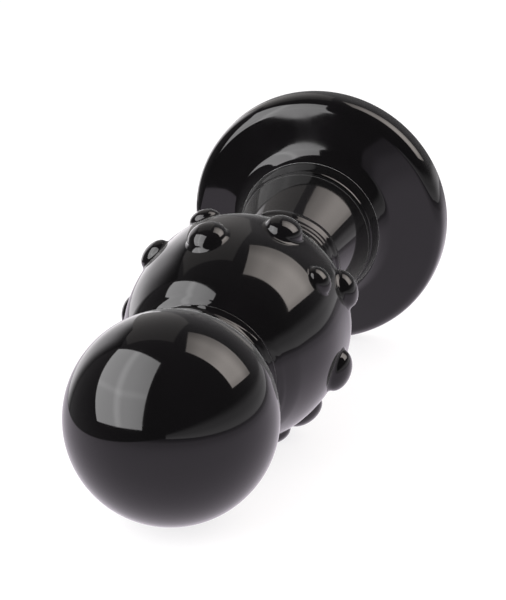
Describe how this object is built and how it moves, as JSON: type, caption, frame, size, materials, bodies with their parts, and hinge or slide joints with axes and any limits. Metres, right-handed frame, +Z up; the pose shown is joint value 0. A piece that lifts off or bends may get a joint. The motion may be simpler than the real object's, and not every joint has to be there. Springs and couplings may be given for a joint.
{
  "type": "flared-base glass plug",
  "caption": "Solid black glass plug lying on its side: round head, short neck, nubbed bulb, thick waisted stem and a wide trumpet-shaped foot.",
  "frame": {"origin": "middle of the underside of the bounding box, on the table that the object lies on", "axes": "+Z up; the object's own axis lies in the YZ plane, with the round head towards -Y and the foot towards +Y, and climbs about 6.4 degrees towards the foot"},
  "size_m": [0.0662, 0.1402, 0.0659],
  "materials": {
    "black_glass": "opaque black hot-worked glass, fire polished to a mirror gloss, roughness about 0.03",
    "nub_glass": "the same black glass, laid on as drops, fire polished, with a small fillet where each drop wets the bulb"
  },
  "bodies": {
    "root": {"head_ball": "black_glass", "neck_waist": "black_glass", "body_bulb": "black_glass", "nub_front_1": "nub_glass", "nub_front_2": "nub_glass", "nub_front_3": "nub_glass", "nub_front_4": "nub_glass", "nub_front_5": "nub_glass", "nub_front_6": "nub_glass", "nub_front_7": "nub_glass", "nub_back_1": "nub_glass", "nub_back_2": "nub_glass", "nub_back_3": "nub_glass", "nub_back_4": "nub_glass", "nub_back_5": "nub_glass", "nub_back_6": "nub_glass", "nub_back_7": "nub_glass", "stem_rod": "black_glass", "seam_collar": "black_glass", "flared_foot": "black_glass"}
  },
  "joints": []
}
